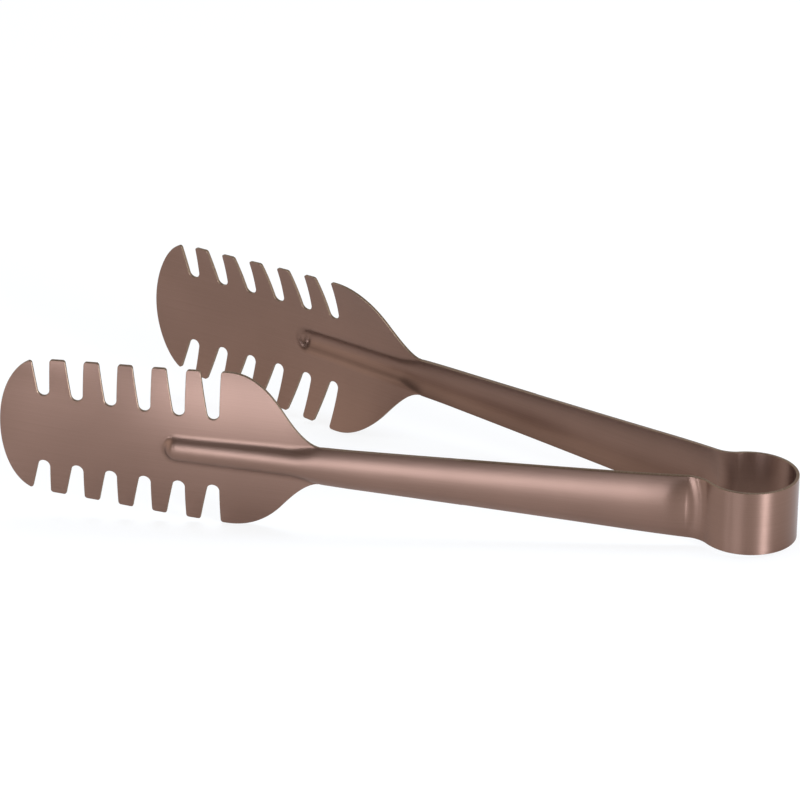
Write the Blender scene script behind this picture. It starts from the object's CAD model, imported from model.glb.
import math

import bpy
from mathutils import Matrix, Vector
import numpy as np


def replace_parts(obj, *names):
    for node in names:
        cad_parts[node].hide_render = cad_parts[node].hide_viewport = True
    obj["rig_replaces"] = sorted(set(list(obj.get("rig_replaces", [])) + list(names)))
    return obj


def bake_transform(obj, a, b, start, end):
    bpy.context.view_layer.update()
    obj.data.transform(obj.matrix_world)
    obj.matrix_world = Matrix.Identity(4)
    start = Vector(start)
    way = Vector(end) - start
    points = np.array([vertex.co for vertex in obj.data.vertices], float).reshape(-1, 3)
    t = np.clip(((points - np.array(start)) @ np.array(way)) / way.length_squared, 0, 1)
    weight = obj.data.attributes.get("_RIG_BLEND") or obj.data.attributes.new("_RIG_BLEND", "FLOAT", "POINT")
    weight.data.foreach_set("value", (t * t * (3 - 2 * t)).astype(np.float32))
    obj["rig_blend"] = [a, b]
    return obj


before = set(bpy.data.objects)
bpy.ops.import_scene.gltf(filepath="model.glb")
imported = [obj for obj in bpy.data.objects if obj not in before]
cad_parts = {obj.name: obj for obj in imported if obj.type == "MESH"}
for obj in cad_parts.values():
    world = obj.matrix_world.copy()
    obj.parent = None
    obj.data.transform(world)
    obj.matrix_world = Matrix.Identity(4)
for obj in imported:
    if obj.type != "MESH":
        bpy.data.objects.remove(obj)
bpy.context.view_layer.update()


# Front side of the tongs, from the middle of the bow to the tip of the head.
# The real one is half of a blank of spring stainless steel, 1 mm thick. It is punched
# flat, pressed into a channel and a dished head, and bent round into the bow.

# the sheet, the flat band of the bow, its loop and the bend into each arm
SHEET = 0.0010
BAND_HALF = 0.0102
LOOP_RADIUS = 0.0143
REVERSE_RADIUS = 0.0095
ARM_ANGLE = math.radians(13.0)
ARM_OFFSET = 0.0063
# the handle's channel, which rises over CROWN from CROWN_LEAD before the arm starts, and
# stands out by CHANNEL_LIFT more between its two ends
HANDLE_LENGTH = 0.1125
HANDLE_WAIST = 0.0002
NECK_HALF = 0.0060
CHANNEL_START_DEPTH = 0.0034
CHANNEL_NECK_DEPTH = 0.0027
CHANNEL_LIFT = 0.00076
CROWN_LEAD = 0.0130
CROWN = 0.0205
LIFT_RISE = 0.030
LIFT_FALL_LEAD = 0.010
LIFT_FALL_END = 0.022
# the head: shoulder, lobe, narrowing row of teeth and round tip, bowed inwards and dished
# across, with a dish that grows flatter from FLATTENS on
SHOULDER = 0.0312
SHOULDER_SLOPE = 1.24
SHOULDER_BEND = 0.405
SHOULDER_BEND_RISE = 0.492
LOBE_HALF = 0.0255
TIP_HALF = 0.0223
TIP_LENGTH = 0.0132
DISH_RADIUS = 0.066
DISH_LEAD = 0.012
FLATTENS = 0.193
HEAD_BOW_RADIUS = 0.3742
# the slots along each edge of the head, which leave teeth with rounded corners
SLOTS = 6
SLOT_PITCH = 0.01095
SLOT_ROOT = 0.0110
SLOT_ROOT_RADIUS = 0.0020
SLOT_MOUTH_HALF = 0.00325
SLOT_LEAN = math.radians(7.75)
TOOTH_CORNER = 0.0009
ROW_LAND = 0.0013
# the rib, by which the channel runs on into the head
RIB_LENGTH = 0.0457
RIB_END_HALF = 0.0051
RIB_END_DEPTH = 0.0022
RIB_FILLET_SHARE = 0.38
RIB_FILLET_RUN = 0.010

# the turns of the bends, and places along the strip, which on the arm are measured
# forward from the centre of the loop
rise = ARM_OFFSET + REVERSE_RADIUS
arm_start = math.sqrt((LOOP_RADIUS + REVERSE_RADIUS) ** 2 - rise**2)
loop_turn = math.pi - ARM_ANGLE - math.atan2(rise, arm_start)
reverse_turn = loop_turn + ARM_ANGLE - math.pi / 2
reverse_start = arm_start - REVERSE_RADIUS * reverse_turn
bow_middle = reverse_start - LOOP_RADIUS * loop_turn
neck = arm_start + HANDLE_LENGTH
lobe = neck + SHOULDER
first_slot = lobe + SLOT_MOUTH_HALF + (SLOTS - 1) * SLOT_PITCH
row_end = first_slot + ROW_LAND
rib_end = neck + RIB_LENGTH


def ramp(place, start, end):
    """How far a place is from start to end, from 0 to 1, with a soft foot and top."""
    share = min(max((place - start) / (end - start), 0.0), 1.0)
    return share * share * (3 - 2 * share)


def eased(share, first, last, length, slope_first, slope_last):
    """A smooth curve between two heights that leaves and arrives at given slopes."""
    square, cube = share**2, share**3
    return (
        first * (2 * cube - 3 * square + 1)
        + last * (3 * square - 2 * cube)
        + length * slope_first * (cube - 2 * square + share)
        + length * slope_last * (cube - square)
    )


def half_width(along):
    """Half the width of the blank: band, handle, shoulder, row of teeth, tip."""
    row_slope = (TIP_HALF - LOBE_HALF) / (row_end - lobe)
    bend = neck + SHOULDER_BEND * SHOULDER
    bend_half = NECK_HALF + SHOULDER_BEND_RISE * (LOBE_HALF - NECK_HALF)
    if along <= arm_start:
        return BAND_HALF
    if along <= neck:
        share = (along - arm_start) / HANDLE_LENGTH
        taper = BAND_HALF + share * (NECK_HALF - BAND_HALF)
        return taper - 4 * HANDLE_WAIST * share * (1 - share)
    if along <= bend:
        share = (along - neck) / (bend - neck)
        return eased(share, NECK_HALF, bend_half, bend - neck, 0.0, SHOULDER_SLOPE)
    if along <= lobe:
        share = (along - bend) / (lobe - bend)
        return eased(share, bend_half, LOBE_HALF, lobe - bend, SHOULDER_SLOPE, row_slope)
    if along <= row_end:
        return LOBE_HALF + row_slope * (along - lobe)
    share = min((along - row_end) / TIP_LENGTH, 1.0)
    return TIP_HALF * math.sqrt(1 - share**2)


def channel_height(along, across):
    """The channel's arch from edge to edge, which runs out on the head as a rib."""
    rib_share = min(max((along - neck) / RIB_LENGTH, 0.0), 1.0)
    half = half_width(min(along, neck)) + rib_share * (RIB_END_HALF - NECK_HALF)
    handle_share = min(max((along - arm_start) / HANDLE_LENGTH, 0.0), 1.0)
    depth = CHANNEL_START_DEPTH + handle_share * (CHANNEL_NECK_DEPTH - CHANNEL_START_DEPTH)
    depth += ramp(along, neck, rib_end) * (RIB_END_DEPTH - CHANNEL_NECK_DEPTH)
    off_middle = math.hypot(across, max(along - rib_end, 0.0))
    fillet_share = RIB_FILLET_SHARE * ramp(along, neck, neck + RIB_FILLET_RUN)
    arc = half / math.sin(2 * math.atan(depth / half))
    crest, fillet = arc * (1 - fillet_share), arc * fillet_share
    if off_middle <= half * (1 - fillet_share) or along <= neck:
        return depth - crest + math.sqrt(crest**2 - off_middle**2)
    return fillet - math.sqrt(fillet**2 - max(half - off_middle, 0.0) ** 2)


def pressed_height(along, across):
    """How far outwards the press sets the sheet: channel and rib, dish, inward bow."""
    foot = arm_start - CROWN_LEAD
    share = min(max((along - foot) / CROWN, 0.0), 1.0)
    risen = share**3 * (10 - 15 * share + 6 * share**2)
    channel = risen * channel_height(along, across)
    lift = ramp(along, foot, foot + LIFT_RISE)
    lift -= ramp(along, neck - LIFT_FALL_LEAD, neck + LIFT_FALL_END)
    channel += CHANNEL_LIFT * lift
    dish = DISH_RADIUS - math.sqrt(DISH_RADIUS**2 - across**2)
    dish *= ramp(along, neck - DISH_LEAD, neck + DISH_LEAD)
    dish *= 1 - (max(along - FLATTENS, 0.0) / (row_end + TIP_LENGTH - FLATTENS)) ** 2
    past_lobe = max(along - lobe, 0.0)
    bowed = HEAD_BOW_RADIUS - math.sqrt(HEAD_BOW_RADIUS**2 - past_lobe**2)
    return channel - dish - bowed


def on_tongs(along, across, depth):
    """Where a point of the flat blank ends up once it is pressed and bent."""
    out = Vector((math.sin(ARM_ANGLE), -math.cos(ARM_ANGLE), 0))
    forward = Vector((-math.cos(ARM_ANGLE), -math.sin(ARM_ANGLE), 0))
    up = Vector((0, 0, across))
    step = 0.00002
    slope = pressed_height(along + step, across) - pressed_height(along - step, across)
    tilt = pressed_height(along, across + step) - pressed_height(along, across - step)
    stretch = math.hypot(1, slope / 2 / step, tilt / 2 / step)
    height = pressed_height(along, across) + depth * stretch
    if along < reverse_start:
        angle = (along - bow_middle) / LOOP_RADIUS
        spoke = Vector((math.cos(angle), -math.sin(angle), 0))
        return spoke * (LOOP_RADIUS + height) + up
    if along < arm_start:
        angle = (arm_start - along) / REVERSE_RADIUS
        spoke = -out * math.cos(angle) - forward * math.sin(angle)
        return forward * arm_start + out * rise + spoke * (REVERSE_RADIUS - height) + up
    return forward * along + out * (ARM_OFFSET + height) + up


def take_up(piece):
    """Selects one piece alone, to be worked on."""
    bpy.ops.object.select_all(action="DESELECT")
    piece.select_set(True)
    bpy.context.view_layer.objects.active = piece


# the blank, as a flat grid whose rows lie closer in the bends and at the rib's end,
# whose columns lie closer at the middle, and whose last rows swell into the round nose
NOSE_ROWS = 20
COLUMNS = 80
COLUMN_SPREAD = 1.45
CLOSE_ON_ARM = 0.012
CLOSE_BEFORE_RIB_END = 0.004
CLOSE_PAST_RIB_END = 0.006
stretches = [
    (bow_middle, reverse_start, 90),
    (reverse_start, arm_start, 28),
    (arm_start, arm_start + CLOSE_ON_ARM, 28),
    (arm_start + CLOSE_ON_ARM, rib_end - CLOSE_BEFORE_RIB_END, 156),
    (rib_end - CLOSE_BEFORE_RIB_END, rib_end + CLOSE_PAST_RIB_END, 24),
    (rib_end + CLOSE_PAST_RIB_END, row_end, 48),
]
rows = []
for start, end, count in stretches:
    rows += [start + (end - start) * n / count for n in range(count)]
last_row = len(rows) + NOSE_ROWS

bpy.ops.object.select_all(action="DESELECT")
bpy.ops.mesh.primitive_grid_add(x_subdivisions=last_row, y_subdivisions=COLUMNS, size=2)
front_strip = bpy.context.object
front_strip.name = "front_strip"
for vertex in front_strip.data.vertices:
    number = round((vertex.co.x + 1) / 2 * last_row)
    spread = math.copysign(abs(vertex.co.y) ** COLUMN_SPREAD, vertex.co.y)
    if number < len(rows):
        vertex.co = (rows[number], spread * half_width(rows[number]), 0)
    else:
        swell = (number - len(rows)) / NOSE_ROWS
        along = row_end + TIP_LENGTH * swell * math.sqrt(1 - spread**2 / 2)
        vertex.co = (along, TIP_HALF * spread * math.sqrt(1 - swell**2 / 2), 0)
take_up(front_strip)
plate = front_strip.modifiers.new("plate", "SOLIDIFY")
plate.thickness = SHEET
plate.offset = 0
bpy.ops.object.modifier_apply(modifier=plate.name)

# the slots are punched through the flat blank, all at one blow
ROOT_STEPS = 16
CORNER_STEPS = 6
EDGE_PASSES = 4
PUNCH_OVERHANG = 0.003
PUNCH_HEIGHT = 0.004


def punch_outline(number):
    """A slot's punch: round root, sides that open outwards, rounded tooth corners."""
    across_slot = Vector((math.cos(SLOT_LEAN), -math.sin(SLOT_LEAN)))
    out_of_slot = Vector((math.sin(SLOT_LEAN), math.cos(SLOT_LEAN)))
    centre = Vector((first_slot - number * SLOT_PITCH, SLOT_ROOT + SLOT_ROOT_RADIUS))
    slot_depth = LOBE_HALF - SLOT_ROOT - SLOT_ROOT_RADIUS
    flare = (SLOT_MOUTH_HALF - SLOT_ROOT_RADIUS) / slot_depth
    outline = []
    for side in (1, -1):
        wall = (out_of_slot + across_slot * side * flare).normalized()
        foot = centre + across_slot * side * SLOT_ROOT_RADIUS
        # where the slot's side meets the edge of the blank, found closer at each pass
        corner = foot + wall * (LOBE_HALF - foot.y) / wall.y
        for _ in range(EDGE_PASSES):
            corner = foot + wall * (half_width(corner.x) - foot.y) / wall.y
        step = 0.0001
        fall = half_width(corner.x + step) - half_width(corner.x - step)
        row = Vector((2 * step, fall)).normalized()
        opening = (-wall).angle(row * side) / 2
        bisector = (row * side - wall).normalized()
        middle = corner + bisector * TOOTH_CORNER / math.sin(opening)
        from_wall = corner - wall * TOOTH_CORNER / math.tan(opening) - middle
        to_row = corner + row * side * TOOTH_CORNER / math.tan(opening) - middle
        rounding = []
        for n in range(CORNER_STEPS + 1):
            spoke = from_wall.lerp(to_row, n / CORNER_STEPS).normalized()
            rounding.append(middle + spoke * TOOTH_CORNER)
        rounding.append(middle + to_row + Vector((0, PUNCH_OVERHANG)))
        outline.append(rounding)
    root = []
    for n in range(ROOT_STEPS + 1):
        turn = math.pi * n / ROOT_STEPS
        spoke = -across_slot * math.cos(turn) - out_of_slot * math.sin(turn)
        root.append(centre + spoke * SLOT_ROOT_RADIUS)
    return root + outline[0] + outline[1][::-1]


punches = []
for number in range(SLOTS):
    for side in (1, -1):
        outline = punch_outline(number)
        bpy.ops.object.select_all(action="DESELECT")
        bpy.ops.mesh.primitive_circle_add(vertices=len(outline), radius=1, fill_type="NGON")
        punch = bpy.context.object
        for vertex, point in zip(punch.data.vertices, outline):
            vertex.co = (point.x, side * point.y, -PUNCH_HEIGHT / 2)
        bpy.ops.object.mode_set(mode="EDIT")
        bpy.ops.mesh.select_all(action="SELECT")
        through = {"value": (0, 0, PUNCH_HEIGHT)}
        bpy.ops.mesh.extrude_region_move(TRANSFORM_OT_translate=through)
        bpy.ops.mesh.select_all(action="SELECT")
        bpy.ops.mesh.normals_make_consistent(inside=False)
        bpy.ops.object.mode_set(mode="OBJECT")
        punches.append(punch)
bpy.ops.object.select_all(action="DESELECT")
for punch in punches:
    punch.select_set(True)
bpy.context.view_layer.objects.active = punches[0]
bpy.ops.object.join()
punch = bpy.context.object
take_up(front_strip)
cut = front_strip.modifiers.new("slots", "BOOLEAN")
cut.operation = "DIFFERENCE"
cut.solver = "EXACT"
cut.object = punch
bpy.ops.object.modifier_apply(modifier=cut.name)
bpy.data.objects.remove(punch)

# points of the grid that the punches left hard beside an edge are drawn onto it, points
# that then lie together are joined, and the slivers that the punches cut off at the
# corners of the teeth are dissolved
NEAR_RIM = 0.00025
TOGETHER = 0.00012
LOBE_MARGIN = 0.002
ROOT_MARGIN = 0.001
UPRIGHT = 0.5


def is_sheared(face):
    """Whether a face of the flat blank stands upright, as its punched edges do."""
    return abs(face.normal.z) < UPRIGHT


def is_in_row(vertex):
    """Whether a point of the flat blank lies among the teeth or past them."""
    past_lobe = vertex.co.x > lobe - LOBE_MARGIN
    return past_lobe and abs(vertex.co.y) > SLOT_ROOT - ROOT_MARGIN


sheared = set()
for face in front_strip.data.polygons:
    if is_sheared(face):
        sheared.update(face.vertices)
bpy.ops.object.mode_set(mode="EDIT")
bpy.ops.mesh.select_mode(type="VERT")
bpy.ops.mesh.select_all(action="DESELECT")
bpy.ops.object.mode_set(mode="OBJECT")
for vertex in front_strip.data.vertices:
    vertex.select = is_in_row(vertex) and vertex.index not in sheared
bpy.ops.object.mode_set(mode="EDIT")
bpy.ops.mesh.remove_doubles(threshold=NEAR_RIM, use_unselected=True)
bpy.ops.mesh.select_all(action="DESELECT")
bpy.ops.object.mode_set(mode="OBJECT")
for vertex in front_strip.data.vertices:
    vertex.select = is_in_row(vertex)
bpy.ops.object.mode_set(mode="EDIT")
bpy.ops.mesh.remove_doubles(threshold=TOGETHER)
bpy.ops.mesh.select_mode(type="EDGE")
bpy.ops.mesh.select_all(action="DESELECT")
bpy.ops.object.mode_set(mode="OBJECT")
# such a sliver lies behind an edge that runs over a broad face from rim to rim
sheared = set()
rims = set()
for face in front_strip.data.polygons:
    if is_sheared(face):
        sheared.update(face.vertices)
        rims.update(face.edge_keys)
for edge in front_strip.data.edges:
    edge.select = sheared.issuperset(edge.vertices) and edge.key not in rims
bpy.ops.object.mode_set(mode="EDIT")
bpy.ops.mesh.dissolve_edges(use_verts=False)
bpy.ops.object.mode_set(mode="OBJECT")

# the blank keeps its flat place as a map, which the brushing follows later, and its
# punched edges are told apart for their own finish
flat_map = front_strip.data.uv_layers.new(name="flat_blank")
for loop in front_strip.data.loops:
    place = front_strip.data.vertices[loop.vertex_index].co
    flat_map.data[loop.index].uv = (place.x, place.y)
punched = [is_sheared(face) for face in front_strip.data.polygons]

# the press and the bends
for vertex in front_strip.data.vertices:
    vertex.co = on_tongs(vertex.co.x, vertex.co.y, vertex.co.z)


# Copper coloured coat on satin brushed stainless steel: a hard vapour deposited film,
# a few thousandths of a millimetre thick, that keeps the brush lines. They run along the
# strip and are so fine that they show as a satin sheen across it and a faint grain.

# brush lines 40 mm long and 0.29 mm apart: the real ones, 0.05 mm apart, are too fine to show
BRUSH_LENGTH = 0.040
BRUSH_PITCH = 0.001 / 3.5
# the film's tone drifts a little over some 20 mm, as it does over a blank in the chamber
DRIFT_LENGTH = 0.020


def linear(code):
    """An sRGB hex colour turned linear."""
    parts = [int(code[i:i + 2], 16) / 255 for i in (1, 3, 5)]
    turned = [p / 12.92 if p <= 0.04045 else ((p + 0.055) / 1.055) ** 2.4 for p in parts]
    return turned + [1.0]


def node(tree, kind, settings=None, links=None):
    """Adds a node, sets its settings or sockets, and links its inputs."""
    made = tree.nodes.new(kind)
    for name, value in (settings or {}).items():
        if isinstance(name, str) and hasattr(made, name):
            setattr(made, name, value)
        else:
            made.inputs[name].default_value = value
    for name, source in (links or {}).items():
        tree.links.new(source, made.inputs[name])
    return made


coat = bpy.data.materials.new("copper_coat_on_brushed_stainless")
coat.use_nodes = True
tree = coat.node_tree
tree.nodes.clear()
flat = node(tree, "ShaderNodeUVMap", {"uv_map": "flat_blank"})
stretched = node(
    tree, "ShaderNodeMapping",
    {"Scale": (1 / BRUSH_LENGTH, 1 / BRUSH_PITCH, 1.0)},
    {"Vector": flat.outputs["UV"]},
)
lines = node(
    tree, "ShaderNodeTexNoise",
    {"Scale": 1.0, "Detail": 3.0, "Roughness": 0.6},
    {"Vector": stretched.outputs["Vector"]},
)
tones = node(tree, "ShaderNodeValToRGB", None, {"Fac": lines.outputs["Fac"]})
tones.color_ramp.elements[0].position = 0.30
tones.color_ramp.elements[0].color = linear("#7a5f52")
tones.color_ramp.elements[1].position = 0.70
tones.color_ramp.elements[1].color = linear("#806457")
drift = node(
    tree, "ShaderNodeTexNoise",
    {"Scale": 1 / DRIFT_LENGTH, "Detail": 1.0},
    {"Vector": flat.outputs["UV"]},
)
tint = node(
    tree, "ShaderNodeMapRange",
    {"From Min": 0.3, "From Max": 0.7, "To Min": 0.97, "To Max": 1.03},
    {"Value": drift.outputs["Fac"]},
)
film = node(
    tree, "ShaderNodeHueSaturation", None,
    {"Color": tones.outputs["Color"], "Value": tint.outputs["Result"]},
)
gloss = node(
    tree, "ShaderNodeMapRange",
    {"From Min": 0.3, "From Max": 0.7, "To Min": 0.32, "To Max": 0.36},
    {"Value": lines.outputs["Fac"]},
)
fine = node(
    tree, "ShaderNodeBump",
    {"Strength": 0.06, "Distance": 0.00002},
    {"Height": lines.outputs["Fac"]},
)
grain = node(tree, "ShaderNodeTangent", {"direction_type": "UV_MAP", "uv_map": "flat_blank"})
skin = node(
    tree, "ShaderNodeBsdfPrincipled",
    {"Metallic": 1.0, "Anisotropic": 0.8, "Anisotropic Rotation": 0.25},
    {
        "Base Color": film.outputs["Color"],
        "Roughness": gloss.outputs["Result"],
        "Normal": fine.outputs["Normal"],
        "Tangent": grain.outputs["Tangent"],
    },
)
node(tree, "ShaderNodeOutputMaterial", None, {"Surface": skin.outputs["BSDF"]})
front_strip.data.materials.append(coat)


# The same coat on the punched edge of the blank. The die sheared it and no brush went
# over it, so it shows more golden, with faint score marks through the sheet's thickness.

SCORE_PITCH = 0.0004

edge_coat = bpy.data.materials.new("copper_coat_on_punched_stainless")
edge_coat.use_nodes = True
tree = edge_coat.node_tree
tree.nodes.clear()
flat = node(tree, "ShaderNodeUVMap", {"uv_map": "flat_blank"})
scores = node(
    tree, "ShaderNodeTexNoise",
    {"Scale": 1 / SCORE_PITCH, "Detail": 2.0},
    {"Vector": flat.outputs["UV"]},
)
tones = node(tree, "ShaderNodeValToRGB", None, {"Fac": scores.outputs["Fac"]})
tones.color_ramp.elements[0].position = 0.35
tones.color_ramp.elements[0].color = linear("#796351")
tones.color_ramp.elements[1].position = 0.65
tones.color_ramp.elements[1].color = linear("#86705c")
bright = node(
    tree, "ShaderNodeBsdfPrincipled",
    {"Metallic": 1.0, "Roughness": 0.45},
    {"Base Color": tones.outputs["Color"]},
)
node(tree, "ShaderNodeOutputMaterial", None, {"Surface": bright.outputs["BSDF"]})
front_strip.data.materials.append(edge_coat)
for face, is_punched in zip(front_strip.data.polygons, punched):
    face.material_index = 1 if is_punched else 0

# the middle of the bow is open while the edges are broken, and is then closed flat, and
# the broken edges show the same coat as the punched ones
AT_MIDDLE = 1e-7
EDGE_BREAK = 0.00015
SHARP_CORNER = math.radians(50)
SMOOTH_CORNER = math.radians(32)
bpy.ops.object.mode_set(mode="EDIT")
bpy.ops.mesh.select_mode(type="FACE")
bpy.ops.mesh.select_all(action="SELECT")
bpy.ops.mesh.normals_make_consistent(inside=False)
bpy.ops.mesh.select_all(action="DESELECT")
bpy.ops.object.mode_set(mode="OBJECT")
for face in front_strip.data.polygons:
    face.select = abs(face.center.y) < AT_MIDDLE and face.center.x > 0
bpy.ops.object.mode_set(mode="EDIT")
bpy.ops.mesh.delete(type="FACE")
bpy.ops.object.mode_set(mode="OBJECT")
broken_edge = front_strip.modifiers.new("broken edge", "BEVEL")
broken_edge.limit_method = "ANGLE"
broken_edge.angle_limit = SHARP_CORNER
broken_edge.width = EDGE_BREAK
broken_edge.segments = 1
broken_edge.material = 1
broken_edge.use_clamp_overlap = False
broken_edge.loop_slide = False
bpy.ops.object.modifier_apply(modifier=broken_edge.name)
bpy.ops.object.mode_set(mode="EDIT")
bpy.ops.mesh.select_mode(type="EDGE")
bpy.ops.mesh.select_all(action="DESELECT")
bpy.ops.mesh.select_non_manifold(
    extend=False, use_wire=False, use_boundary=True,
    use_multi_face=False, use_non_contiguous=False, use_verts=False,
)
bpy.ops.mesh.edge_face_add()
bpy.ops.object.mode_set(mode="OBJECT")
bpy.ops.object.shade_smooth_by_angle(angle=SMOOTH_CORNER)

# laid down on the lower rim of the bow and the lower edges of the heads, as the solids are
LIE_TILT = math.radians(5.15110)
LIE_FORWARD = 0.10594349
LIE_UP = 0.01148767
lie = Matrix.Translation((LIE_FORWARD, 0, LIE_UP)) @ Matrix.Rotation(LIE_TILT, 4, "Y")
front_strip.data.transform(lie)

bow_back_place = lie @ Vector((LOOP_RADIUS, 0, 0))
front_bend_place = lie @ on_tongs(arm_start, 0, 0)
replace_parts(front_strip, "bow_back", "front_spring", "front_handle", "front_head")
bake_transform(front_strip, "bow", "front_arm", start=bow_back_place, end=front_bend_place)


# Rear side of the tongs. The blank's two halves are the same, so it is the front side
# turned over: a mirror image across the middle of the bow, with the same coat.

rear_strip = front_strip.copy()
rear_strip.data = front_strip.data.copy()
rear_strip.name = "rear_strip"
bpy.context.collection.objects.link(rear_strip)
rear_strip.data.transform(Matrix.Scale(-1, 4, (0, 1, 0)))
rear_strip.data.flip_normals()
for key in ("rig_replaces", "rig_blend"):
    if key in rear_strip:
        del rear_strip[key]
rear_bend_place = front_bend_place * Vector((1, -1, 1))
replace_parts(rear_strip, "bow_back", "rear_spring", "rear_handle", "rear_head")
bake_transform(rear_strip, "bow", "rear_arm", start=bow_back_place, end=rear_bend_place)


# Camera, floor and light. A long lens about 1.7 metres away, at the photograph's viewing
# angle, over a plain pale table in soft studio light.

# the camera's place, turn and lens, as worked out from the photograph's outline
PICTURE_PIXELS = 800
FOCAL_PIXELS = 5538.092
SENSOR_WIDTH = 36
CAMERA_TURN = math.radians(25.0844)
CAMERA_LIFT = math.radians(25.0605)
CAMERA_ROLL = math.radians(0.9595)
CAMERA_DISTANCE = 1.6645227
CAMERA_LEFT = 0.1048760
CAMERA_UP = 0.0309670
VIEW_REACH = 20
FLOOR_WIDTH = 8

camera_data = bpy.data.cameras.new("camera")
camera = bpy.data.objects.new("camera", camera_data)
bpy.context.collection.objects.link(camera)
bpy.context.scene.camera = camera
back = Vector((
    math.sin(CAMERA_TURN) * math.cos(CAMERA_LIFT),
    -math.cos(CAMERA_TURN) * math.cos(CAMERA_LIFT),
    math.sin(CAMERA_LIFT),
))
level = Vector((math.cos(CAMERA_TURN), math.sin(CAMERA_TURN), 0))
upright = back.cross(level)
right = level * math.cos(CAMERA_ROLL) + upright * math.sin(CAMERA_ROLL)
top = upright * math.cos(CAMERA_ROLL) - level * math.sin(CAMERA_ROLL)
place = back * CAMERA_DISTANCE - right * CAMERA_LEFT + top * CAMERA_UP
view = Matrix((right, top, back)).transposed().to_4x4()
camera.matrix_world = lie @ Matrix.Translation(place) @ view
camera_data.sensor_width = SENSOR_WIDTH
camera_data.lens = FOCAL_PIXELS / PICTURE_PIXELS * SENSOR_WIDTH
camera_data.clip_end = VIEW_REACH

bpy.ops.object.select_all(action="DESELECT")
bpy.ops.mesh.primitive_plane_add(size=FLOOR_WIDTH)
floor = bpy.context.object
floor.name = "floor"
table = bpy.data.materials.new("pale_table")
table.use_nodes = True
tree = table.node_tree
tree.nodes.clear()
# the table shows four fifths as a lit white to the camera, and half of that to the steel
LIT_SHARE = 0.8
MIRRORED_SHARE = 0.5
seen = node(tree, "ShaderNodeLightPath")
mirrored = node(
    tree, "ShaderNodeMath",
    {"operation": "MULTIPLY", 1: MIRRORED_SHARE},
    {0: seen.outputs["Is Glossy Ray"]},
)
shown = node(
    tree, "ShaderNodeMath",
    {"operation": "MAXIMUM"},
    {0: seen.outputs["Is Camera Ray"], 1: mirrored.outputs[0]},
)
matt = node(tree, "ShaderNodeBsdfDiffuse", {"Color": linear("#f2f0ee")})
white = node(tree, "ShaderNodeEmission", {"Color": (1, 1, 1, 1), "Strength": 1.0})
share = node(
    tree, "ShaderNodeMath",
    {"operation": "MULTIPLY", 1: LIT_SHARE},
    {0: shown.outputs[0]},
)
mixed = node(
    tree, "ShaderNodeMixShader", None,
    {0: share.outputs[0], 1: matt.outputs[0], 2: white.outputs[0]},
)
node(tree, "ShaderNodeOutputMaterial", None, {"Surface": mixed.outputs[0]})
floor.data.materials.append(table)


COLD_WHITE = (0.71, 0.83, 1.0)


def softbox(name, place, target, width, height, watts):
    """A soft rectangular lamp at a place, turned to face a target."""
    data = bpy.data.lights.new(name, "AREA")
    data.shape = "RECTANGLE"
    data.size = width
    data.size_y = height
    data.energy = watts
    data.color = COLD_WHITE
    lamp = bpy.data.objects.new(name, data)
    bpy.context.collection.objects.link(lamp)
    lamp.location = place
    lamp.rotation_euler = (Vector(target) - Vector(place)).to_track_quat("-Z", "Y").to_euler()
    return lamp


softbox(
    "front_softbox", place=(0.04, -1.50, 0.28), target=(0, 0, 0.03),
    width=0.60, height=0.58, watts=9.2,
)
softbox(
    "left_softbox", place=(-0.56, -1.37, 0.16), target=(0, 0, 0.03),
    width=0.16, height=0.32, watts=2.2,
)
softbox(
    "strip_softbox", place=(1.39, -0.77, 0.30), target=(0.1, 0, 0.02),
    width=0.36, height=0.6, watts=50,
)
# the overhead lamp lights the table, and the steel doesn't mirror it
overhead = softbox(
    "overhead_softbox", place=(0, 0.20, 1.50), target=(0, 0, 0),
    width=1.2, height=0.8, watts=17,
)
overhead.visible_glossy = False

# the room: a white band round the horizon, behind it a pale sweep that falls off to a grey
# ceiling, in front the dark of the studio, and on the left a bright wall
HORIZON = 1.0
CEILING = 0.4
STUDIO_DARK = 0.28
LEFT_WALL = 1.55
world = bpy.data.worlds.new("studio")
bpy.context.scene.world = world
world.use_nodes = True
tree = world.node_tree
tree.nodes.clear()
around = node(tree, "ShaderNodeTexCoord")
sides = node(tree, "ShaderNodeSeparateXYZ", None, {0: around.outputs["Generated"]})
sweep = node(
    tree, "ShaderNodeMapRange",
    {"From Min": 0.15, "From Max": 0.9, "To Min": HORIZON, "To Max": CEILING},
    {"Value": sides.outputs["Z"]},
)
dark = node(
    tree, "ShaderNodeMapRange",
    {"From Min": 0.12, "From Max": 0.3, "To Min": HORIZON, "To Max": STUDIO_DARK},
    {"Value": sides.outputs["Z"]},
)
left = node(
    tree, "ShaderNodeMapRange",
    {"From Min": -0.35, "From Max": -0.8, "To Min": STUDIO_DARK, "To Max": LEFT_WALL},
    {"Value": sides.outputs["X"]},
)
front = node(
    tree, "ShaderNodeMath",
    {"operation": "MAXIMUM"},
    {0: dark.outputs[0], 1: left.outputs[0]},
)
rear_share = node(
    tree, "ShaderNodeMapRange",
    {"From Min": -0.3, "From Max": 0.3},
    {"Value": sides.outputs["Y"]},
)
walls = node(
    tree, "ShaderNodeMix",
    {"data_type": "FLOAT"},
    {"Factor": rear_share.outputs[0], "A": front.outputs[0], "B": sweep.outputs[0]},
)
studio = node(tree, "ShaderNodeBackground", {"Strength": 1.0}, {"Color": walls.outputs[0]})
node(tree, "ShaderNodeOutputWorld", None, {"Surface": studio.outputs[0]})

bpy.context.scene.view_settings.view_transform = "Standard"
